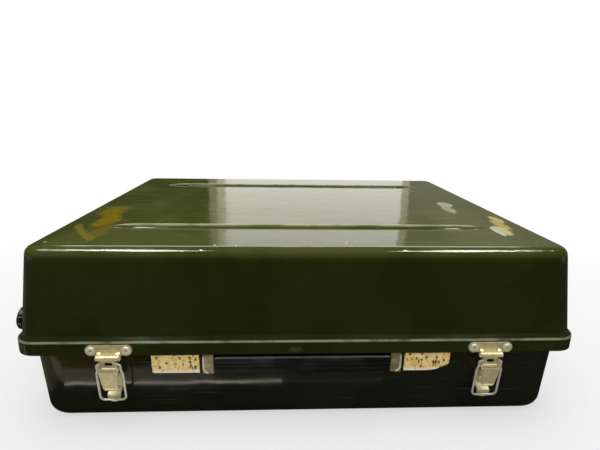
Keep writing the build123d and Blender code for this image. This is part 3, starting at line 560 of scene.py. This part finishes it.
# %% Rubber and plastic
def dull_black(name, dark, dusty, roughness, grain):
    """Matte black with a fine grain, and dust in slow clouds."""
    material, tree, shader, place = new_material(name)
    dust = place_group(tree, clouds, Place=place, Frequency=45.0, Low=0.45, High=0.7)["Mask"]
    feed(tree, shader.inputs["Base Color"], mix_colour(tree, dust, dark, dusty))
    feed(tree, shader.inputs["Roughness"], step_up(tree, dust, 0.0, 1.0, roughness,
                                                   roughness + 0.15))
    fine = add(tree, "ShaderNodeTexNoise", Vector=place, Scale=grain, Detail=2.0)
    relief(tree, shader, fine.outputs[0], 0.00008)
    return material


seal_rubber = dull_black("seal_rubber", srgb(22, 22, 20), srgb(44, 43, 38), 0.6, 900.0)
grip_rubber = dull_black("grip_rubber", srgb(18, 18, 17), srgb(38, 38, 34), 0.42, 1100.0)
vent_plastic = dull_black("vent_plastic", srgb(40, 36, 26), srgb(58, 50, 36), 0.4, 1500.0)
set_finish(seal_rubber, "rim_seal")
set_finish(vent_plastic, "vent_cap")

# %% [markdown]
# ## Leather
# The pads look like tan leather, pitted and stained dark where dirt has settled, and painted nearly
# white along their lower edges: a painted highlight, where the edge catches light. The strap below
# them is the same leather gone dark.
# The pits are specks in a space that is squeezed in height, so that they are drawn out upwards.
# The painted highlight along the edge is a ramp on the height, made ragged by noise.

# %% Leather
highlight_above, highlight_below = 0.0618, 0.0604
edge_reach = 0.006
pad_leather, tree, shader, place = new_material("pad_leather", Roughness=0.62)
position = add(tree, "ShaderNodeSeparateXYZ", Vector=place)
tone = place_group(tree, clouds, Place=place, Frequency=240.0)["Mask"]
colour = mix_colour(tree, tone, srgb(255, 230, 158), srgb(244, 198, 112))
drawn_out = add(tree, "ShaderNodeVectorMath", {"operation": "MULTIPLY"})
feed(tree, drawn_out.inputs[0], place)
feed(tree, drawn_out.inputs[1], (1.0, 1.0, 0.55))
pits = place_group(tree, specks, Place=drawn_out.outputs[0], Frequency=390.0, Radius=0.50,
                   Share=0.35)["Mask"]
stains = place_group(tree, clouds, Place=place, Frequency=460.0, Low=0.60, High=0.66)["Mask"]
dark = maths(tree, "MAXIMUM", pits, maths(tree, "MULTIPLY", stains, 0.8))
colour = mix_colour(tree, maths(tree, "MULTIPLY", dark, 0.9), colour, srgb(70, 36, 8))
# Painted highlight: the lower edge is painted nearly white, where it catches light; noise makes its
# line ragged.
edge_noise = add(tree, "ShaderNodeTexNoise", Vector=place, Scale=420.0, Detail=2.0)
edge_shift = maths(tree, "MULTIPLY", maths(tree, "SUBTRACT", edge_noise.outputs[0], 0.5), edge_reach)
edge = maths(tree, "ADD", position.outputs[2], edge_shift)
edge_highlight = step_up(tree, edge, highlight_above, highlight_below)
colour = mix_colour(tree, maths(tree, "MULTIPLY", edge_highlight, 0.85), colour, srgb(255, 246, 220))
feed(tree, shader.inputs["Base Color"], colour)
grain = add(tree, "ShaderNodeTexVoronoi", Vector=place, Scale=1400.0)
height = maths(tree, "SUBTRACT", grain.outputs["Distance"], maths(tree, "MULTIPLY", dark, 1.2))
relief(tree, shader, height, 0.00025)

strap_leather, tree, shader, place = new_material("strap_leather", Roughness=0.55)
tone = place_group(tree, clouds, Place=place, Frequency=120.0)["Mask"]
colour = mix_colour(tree, tone, srgb(58, 42, 26), srgb(36, 27, 18))
feed(tree, shader.inputs["Base Color"], colour)
grain = add(tree, "ShaderNodeTexVoronoi", Vector=place, Scale=1400.0)
relief(tree, shader, grain.outputs["Distance"], 0.0002)


# %% [markdown]
# ## Modelling helpers
# The soft pieces are modelled lying straight, in the frame of the front wall: X along the case,
# Y into the wall and Z up the wall, with the origin on the wall behind the middle of the grip.
# One turn then lays them against the wall, which leans by 3.5 degrees.

# %% Helpers for modelling
wall_lean = math.radians(3.5)
merge_distance = 0.00001
wall_origin = Vector((0.0, -0.229254, 0.0688))
wall_frame = Matrix.Translation(wall_origin) @ Matrix.Rotation(wall_lean, 4, "X")


def deselect_all():
    """Leave nothing selected, so that the next operator acts only on its own object."""
    if bpy.context.object and bpy.context.object.mode != "OBJECT":
        bpy.ops.object.mode_set(mode="OBJECT")
    bpy.ops.object.select_all(action="DESELECT")


def take(piece):
    """Select one piece alone and make it active."""
    deselect_all()
    piece.select_set(True)
    bpy.context.view_layer.objects.active = piece


def start_piece(name):
    """Name the object that a primitive operator has just added."""
    piece = bpy.context.object
    piece.name = name
    piece.data.name = name
    return piece


def select_where(piece, kind, test):
    """In edit mode, select only what passes the test: vertices or edges by all their points,
    faces by their middle."""
    bpy.ops.object.mode_set(mode="OBJECT")
    mesh = piece.data
    for group in (mesh.vertices, mesh.edges, mesh.polygons):
        group.foreach_set("select", [False] * len(group))
    if kind == "VERT":
        chosen = [v for v in mesh.vertices if test(v.co)]
    elif kind == "EDGE":
        chosen = [e for e in mesh.edges
                  if all(test(mesh.vertices[i].co) for i in e.vertices)]
    else:
        chosen = [f for f in mesh.polygons if test(f.center)]
    for item in chosen:
        item.select = True
    bpy.ops.object.mode_set(mode="EDIT")
    bpy.ops.mesh.select_mode(type=kind)


def apply_modifier(piece, name, kind, **settings):
    """Add a modifier, set it up and apply it."""
    take(piece)
    modifier = piece.modifiers.new(name, kind)
    for key, value in settings.items():
        setattr(modifier, key, value)
    bpy.ops.object.modifier_apply(modifier=name)


def lay_on_wall(piece):
    """Turn a straight piece onto the leaning wall and put its place in its mesh."""
    take(piece)
    piece.matrix_world = wall_frame
    bpy.ops.object.transform_apply(location=True, rotation=True, scale=True)


def finish_piece(piece, material, angle=35.0):
    """Merge doubles, turn the faces outwards, smooth them and give the material."""
    take(piece)
    bpy.ops.object.mode_set(mode="EDIT")
    bpy.ops.mesh.select_all(action="SELECT")
    bpy.ops.mesh.remove_doubles(threshold=merge_distance)
    bpy.ops.mesh.normals_make_consistent(inside=False)
    bpy.ops.object.mode_set(mode="OBJECT")
    bpy.ops.object.shade_smooth_by_angle(angle=math.radians(angle))
    piece.data.materials.clear()
    piece.data.materials.append(material)
    low = [min(v.co[i] for v in piece.data.vertices) for i in range(3)]
    high = [max(v.co[i] for v in piece.data.vertices) for i in range(3)]
    print(piece.name, "mm", [round(1000 * (b - a), 1) for a, b in zip(low, high)],
          "faces", len(piece.data.polygons))


# %% [markdown]
# ## Grip
# The grip is a ribbed rubber sleeve on the strap. When it is lifted its middle bows away from the
# case while its ends stay at the loops. It is made in two halves that meet in the middle. Each half
# starts as the cross-section: a rectangle whose corners are bevelled and whose front edge is
# divided, with every third point pushed in as a groove.
# The section is then extruded along the case in short steps, so that it can bend, and its outer
# end is drawn in a little. One whole grip could follow only one such bend.

# %% Grip section
grip_half = 0.0888
grip_height = 0.0184
grip_back = -0.0006
grip_front = -0.0096
grip_corner = 0.0028
front_cuts = 8
points_per_rib = 3
groove_depth = 0.0010
tolerance = 1e-5


def grip_section(name):
    """Flat cross-section of the grip at x = 0, with grooves in its front edge."""
    deselect_all()
    bpy.ops.mesh.primitive_plane_add(size=1.0, location=(0, 0, 0), rotation=(0, math.pi / 2, 0))
    section = start_piece(name)
    section.scale = (grip_height, grip_back - grip_front, 1.0)
    section.location = (0, (grip_back + grip_front) / 2, 0)
    bpy.ops.object.transform_apply(location=True, rotation=True, scale=True)
    bpy.ops.object.mode_set(mode="EDIT")
    bpy.ops.mesh.select_all(action="SELECT")
    bpy.ops.mesh.bevel(offset=grip_corner, offset_pct=0, segments=4, affect="VERTICES")
    select_where(section, "EDGE", lambda co: co.y < grip_front + tolerance)
    bpy.ops.mesh.subdivide(number_cuts=front_cuts)
    return section


def cut_grooves(section):
    """Push the groove points of the front edge inwards, and give their number."""
    bpy.ops.object.mode_set(mode="OBJECT")
    front = sorted((v for v in section.data.vertices if v.co.y < grip_front + tolerance),
                   key=lambda v: v.co.z)
    cuts = front[1:-1]
    grooves = {v.index for i, v in enumerate(cuts) if i % points_per_rib == points_per_rib - 1}
    select_where(section, "VERT", lambda co: False)
    bpy.ops.object.mode_set(mode="OBJECT")
    for index in grooves:
        section.data.vertices[index].select = True
    bpy.ops.object.mode_set(mode="EDIT")
    bpy.ops.transform.translate(value=(0, groove_depth, 0))
    return len(grooves)


# %% Grip halves
grip_steps = 24
end_taper = (1, 0.86, 0.92)
grip_axis = (0, -0.005, 0)
for side, sign in (("left", -1), ("right", 1)):
    half = grip_section(f"grip_{side}_half")
    grooves = cut_grooves(half)
    take(half)
    bpy.ops.object.mode_set(mode="EDIT")
    bpy.ops.mesh.select_all(action="SELECT")
    for _ in range(grip_steps):
        bpy.ops.mesh.extrude_region_move(
            TRANSFORM_OT_translate={"value": (sign * grip_half / grip_steps, 0, 0)})
    select_where(half, "VERT", lambda co: abs(co.x) > grip_half - 10 * tolerance)
    bpy.ops.transform.resize(value=end_taper, center_override=grip_axis)
    bpy.ops.object.mode_set(mode="OBJECT")
    lay_on_wall(half)
    finish_piece(half, grip_rubber, angle=50.0)
    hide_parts("handle_grip", "handle_strap")
    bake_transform(half)
print("grooves in the grip", grooves)

# %% [markdown]
# ## Strap ends
# The leather strap comes out of the grip, runs through a loop and ends under its pad. It is a
# flat bar with rounded edges: a cube is stretched to size and all its edges are bevelled. Little
# of it shows, so it has no more form than that.

# %% Strap ends
strap_height = 0.0150
strap_back = -0.0006
strap_front = -0.0038
strap_start = 0.0894
strap_stop = 0.1510
strap_edge = 0.0007
for side, sign in (("left", -1), ("right", 1)):
    deselect_all()
    bpy.ops.mesh.primitive_cube_add(size=1.0)
    strap = start_piece(f"strap_{side}")
    strap.scale = (strap_stop - strap_start, strap_back - strap_front, strap_height)
    strap.location = (sign * (strap_start + strap_stop) / 2, (strap_back + strap_front) / 2, 0)
    bpy.ops.object.transform_apply(location=True, rotation=True, scale=True)
    bpy.ops.object.mode_set(mode="EDIT")
    select_where(strap, "VERT", lambda co: True)
    bpy.ops.mesh.bevel(offset=strap_edge, offset_pct=0, segments=3, affect="EDGES")
    bpy.ops.object.mode_set(mode="OBJECT")
    lay_on_wall(strap)
    finish_piece(strap, strap_leather)
    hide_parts(f"strap_end_{side}")
    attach(strap, f"strap_{side}")

# %% [markdown]
# ## Loop beads
# A pale bead stands on each loop along its edge next to the pad, and turns in towards the grip at
# its lower end. It is a small disc that is drawn down in a straight run and then spun round
# nearly a quarter turn. A curve with a bevel would give the same tube, but not its two pinched
# ends, with which it runs out into the loop.

# %% Loop beads
bead_radius = 0.0011
bead_x = 0.1003
bead_out = -0.0063
bead_top = 0.0088
bead_bottom = -0.0045
bead_bend = 0.0058
bead_turn = math.radians(80)
bead_pinch = 0.5
for side, sign in (("left", -1), ("right", 1)):
    deselect_all()
    bpy.ops.mesh.primitive_circle_add(vertices=12, radius=bead_radius, fill_type="NGON",
                                      location=(sign * bead_x, bead_out, bead_top))
    bead = start_piece(f"loop_bead_{side}")
    bpy.ops.object.transform_apply(location=True, rotation=True, scale=True)
    bpy.ops.object.mode_set(mode="EDIT")
    bpy.ops.mesh.select_all(action="SELECT")
    bpy.ops.mesh.extrude_region_move(
        TRANSFORM_OT_translate={"value": (0, 0, bead_bottom - bead_top)})
    bpy.ops.mesh.spin(steps=8, angle=-sign * bead_turn, axis=(0, 1, 0),
                      center=(sign * (bead_x - bead_bend), bead_out, bead_bottom))
    bpy.ops.transform.resize(value=(bead_pinch,) * 3)
    select_where(bead, "VERT", lambda co: co.z > bead_top - tolerance)
    bpy.ops.transform.resize(value=(bead_pinch, bead_pinch, 1.0))
    bpy.ops.object.mode_set(mode="OBJECT")
    lay_on_wall(bead)
    finish_piece(bead, rivet_metal)
    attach(bead, "base")

# %% [markdown]
# ## Pads
# Each pad is a strip of thick leather with a frayed lower edge. The right one is worn to a long
# slope at its outer end. A grid is bisected along the worn outline, its rim is given a small
# random shake with a fixed seed, and a modifier gives it its thickness. A grid rather than one
# drawn outline, because its even faces let the rim shake without folding over.

# %% Pads
pad_start = 0.1046
pad_length = 0.0470
pad_height = 0.0206
pad_thickness = 0.0017
pad_back = strap_front - 0.0001
pad_shake = 0.00030
pad_cuts = {
    # points on the outline, and the direction that is cut away
    "left": [((-0.1516, -0.0103), (-0.99, -0.18)), ((-0.1500, -0.0103), (-0.7, -0.7))],
    "right": [((0.1516, -0.0023), (0.80, -0.60)), ((0.1420, -0.0072), (0.42, -0.91)),
              ((0.1290, -0.0103), (0.12, -0.99))],
}
for side, sign in (("left", -1), ("right", 1)):
    deselect_all()
    bpy.ops.mesh.primitive_grid_add(x_subdivisions=47, y_subdivisions=20, size=1.0,
                                    rotation=(math.pi / 2, 0, 0))
    pad = start_piece(f"pad_{side}")
    bpy.ops.object.transform_apply(location=False, rotation=True, scale=False)
    pad.scale = (pad_length, 1.0, pad_height)
    pad.location = (sign * (pad_start + pad_length / 2), pad_back, 0)
    bpy.ops.object.transform_apply(location=True, rotation=True, scale=True)
    bpy.ops.object.mode_set(mode="EDIT")
    for (cut_x, cut_z), (out_x, out_z) in pad_cuts[side]:
        bpy.ops.mesh.select_all(action="SELECT")
        bpy.ops.mesh.bisect(plane_co=(cut_x, 0, cut_z), plane_no=(out_x, 0, out_z),
                            clear_outer=True)
    bpy.ops.mesh.select_all(action="SELECT")
    bpy.ops.mesh.region_to_loop()
    bpy.ops.transform.vertex_random(offset=pad_shake, uniform=1.0, normal=0.0, seed=7)
    bpy.ops.object.mode_set(mode="OBJECT")
    for vertex in pad.data.vertices:
        vertex.co.y = pad_back
    apply_modifier(pad, "thickness", "SOLIDIFY", thickness=pad_thickness, offset=1.0)
    lay_on_wall(pad)
    finish_piece(pad, pad_leather)
    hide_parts(f"strap_pad_{side}")
    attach(pad, f"strap_{side}")

# %% [markdown]
# ## Stage and light
# The photograph has a white ground and light from a window behind the case, whose pale shape
# lies on the lid. Here a large plain floor and a white world give the ground. The floor is a
# plain matte one, and glows for the camera only, more so further away, so that it is white and
# still keeps the shadow round the case. It could be a bent backdrop, but under a white world a
# flat floor ends in white as well.

# %% World and floor
world_light = 0.50
floor_size = 14.0
glow_start, glow_full = 0.30, 0.90
glow_near_case = 0.60

world = bpy.data.worlds.new("studio")
bpy.context.scene.world = world
world.use_nodes = True
tree = world.node_tree
background = tree.nodes["Background"]
rays = tree.nodes.new("ShaderNodeLightPath")
seen = maths(tree, "MAXIMUM", rays.outputs["Is Camera Ray"],
             maths(tree, "MAXIMUM", rays.outputs["Is Glossy Ray"],
                   rays.outputs["Is Transmission Ray"]))
feed(tree, background.inputs["Color"], (1, 1, 1, 1))
feed(tree, background.inputs["Strength"], step_up(tree, seen, 0.0, 1.0, world_light, 1.0))

deselect_all()
bpy.ops.mesh.primitive_plane_add(size=floor_size, location=(0, 0, 0))
floor = start_piece("floor")
floor_paint = bpy.data.materials.new("floor_paint")
floor_paint.use_nodes = True
tree = floor_paint.node_tree
shader = tree.nodes["Principled BSDF"]
feed(tree, shader.inputs["Base Color"], (0.86, 0.86, 0.86, 1))
feed(tree, shader.inputs["Roughness"], 0.9)
feed(tree, shader.inputs["Specular IOR Level"], 0.1)
glow = add(tree, "ShaderNodeEmission", Color=(1, 1, 1, 1), Strength=1.0)
rays = tree.nodes.new("ShaderNodeLightPath")
blend = tree.nodes.new("ShaderNodeMixShader")
place = tree.nodes.new("ShaderNodeTexCoord").outputs["Object"]
reach = add(tree, "ShaderNodeVectorMath", {"operation": "LENGTH"})
feed(tree, reach.inputs[0], place)
glowing = step_up(tree, reach.outputs["Value"], glow_start, glow_full, glow_near_case, 1.0)
feed(tree, blend.inputs[0], maths(tree, "MULTIPLY", rays.outputs["Is Camera Ray"], glowing))
feed(tree, blend.inputs[1], shader.outputs[0])
feed(tree, blend.inputs[2], glow.outputs[0])
tree.links.new(blend.outputs[0], tree.nodes["Material Output"].inputs[0])
floor.data.materials.append(floor_paint)
print("floor", floor_size, "m wide")

# %% [markdown]
# ## Soft panels
# A panel behind the case stands for the window, and a strip above it for the pale rear wall.
# Soft panels above the front left and right draw the bright lines along the lid's front edges,
# and a large one overhead gives the even light. Real lamps would light and be mirrored at once.
# Here a panel may do only one of the two, so that each highlight can be placed by itself.

# %% Place the panels
def panel(name, place, target, width, height, radiance, colour=(1, 1, 1), shown=True,
          lights=True):
    """Rectangular light that points at a target, as bright as a surface of that radiance.
    It is either shown in reflections, or lights the case, or both."""
    data = bpy.data.lights.new(name, "AREA")
    data.shape = "RECTANGLE"
    data.size = width
    data.size_y = height
    data.energy = radiance * math.pi * width * height
    data.color = colour
    lamp = bpy.data.objects.new(name, data)
    bpy.context.scene.collection.objects.link(lamp)
    lamp.location = place
    lamp.rotation_euler = (Vector(target) - Vector(place)).to_track_quat("-Z", "Y").to_euler()
    lamp.visible_camera = False
    lamp.visible_glossy = shown
    lamp.visible_diffuse = lights
    print(name, round(data.energy, 2), "W")


lid_middle = (0.0, -0.2, 0.19)
window_light = (1.0, 0.92, 0.66)
panel("window", (0.19, 2.0, 0.68), (0.19, 0.0, 0.68), 1.17, 0.76, 0.40, colour=window_light)
panel("rear_strip", (0.10, 2.0, 1.65), (0.10, 0.0, 0.19), 3.2, 0.80, 3.0, lights=False)
panel("front_left", (-0.87, -0.76, 2.20), lid_middle, 0.85, 0.55, 24.0, lights=False)
panel("front_right", (1.08, -0.76, 2.20), lid_middle, 0.78, 0.55, 24.0, lights=False)
panel("top", (0.0, 0.0, 2.4), (0, 0, 0), 2.4, 2.4, 2.0, shown=False)

# %% [markdown]
# ## Cards for reflections
# The gloss would mirror the white ground all over, which the photograph doesn't show: the room
# round the case seems dim. So cards with an even warm glow stand in for it, as a studio would
# place them, round and above the case and on the floor. An image of a room could do the same,
# but cards can be moved one by one. Only reflections can see them. The brightest is a narrow
# strip on the floor, for the thin pale line low on the tub.

# %% Place the cards
warm = (1.0, 0.94, 0.76)
thinnest = 0.001


def card(name, low, high, glow):
    """Thin board between two corners with an even glow, seen only in reflections."""
    deselect_all()
    size = Vector(high) - Vector(low)
    bpy.ops.mesh.primitive_cube_add(size=1.0, location=(Vector(low) + Vector(high)) / 2)
    board = start_piece(name)
    board.scale = [max(s, thinnest) for s in size]
    paint = bpy.data.materials.new(name)
    paint.use_nodes = True
    tree = paint.node_tree
    emission = add(tree, "ShaderNodeEmission", Color=(*warm, 1), Strength=glow)
    tree.links.new(emission.outputs[0], tree.nodes["Material Output"].inputs[0])
    board.data.materials.append(paint)
    board.visible_camera = False
    board.visible_diffuse = False
    board.visible_shadow = False
    board.visible_transmission = False


cards = {
    # lowest corner, highest corner, glow
    "front_low": ((-3.5, -1.80, 0.0), (3.5, -1.79, 0.35), 0.01),
    "front_high": ((-3.5, -1.80, 0.35), (3.5, -1.79, 2.6), 0.12),
    "ceiling": ((-3.5, -1.80, 2.60), (3.5, 2.1, 2.61), 0.06),
    "side_left": ((-3.50, -1.80, 0.0), (-3.49, 2.1, 2.6), 0.08),
    "side_right": ((3.50, -1.80, 0.0), (3.51, 2.1, 2.6), 0.08),
    "rear_left": ((-3.5, 2.10, 0.0), (-0.46, 2.11, 2.6), 0.03),
    "rear_frame": ((-0.46, 2.10, 0.0), (-0.36, 2.11, 2.6), 0.35),
    "rear_above": ((-0.36, 2.10, 1.1), (0.76, 2.11, 2.6), 0.06),
    "rear_right": ((0.76, 2.10, 0.0), (3.5, 2.11, 2.6), 0.25),
    "floor_front": ((-1.6, -1.80, 0.002), (1.6, -0.30, 0.003), 0.01),
    "floor_near": ((-0.30, -0.272, 0.002), (0.5, 0.45, 0.003), 0.01),
    "floor_line": ((-0.27, -0.2745, 0.002), (-0.02, -0.272, 0.003), 6.0),
    "floor_band_left": ((-0.5, -0.30, 0.002), (-0.10, -0.2745, 0.003), 0.50),
    "floor_band_middle": ((-0.10, -0.30, 0.002), (0.0, -0.2745, 0.003), 0.12),
    "floor_band_right": ((0.0, -0.30, 0.002), (0.10, -0.2745, 0.003), 0.05),
    "floor_left": ((-1.6, -0.272, 0.002), (-0.30, 0.6, 0.003), 0.12),
    "floor_left_front": ((-1.6, -0.30, 0.002), (-0.5, -0.272, 0.003), 0.12),
    "floor_right": ((0.10, -0.30, 0.002), (1.6, -0.272, 0.003), 0.03),
    "floor_far_right": ((0.5, -0.272, 0.002), (1.6, 0.6, 0.003), 0.05),
    "floor_back": ((-1.6, 0.60, 0.002), (1.6, 2.0, 0.003), 0.15),
}
for name, (low, high, glow) in cards.items():
    card(f"card_{name}", low, high, glow)
print("cards", len(cards))
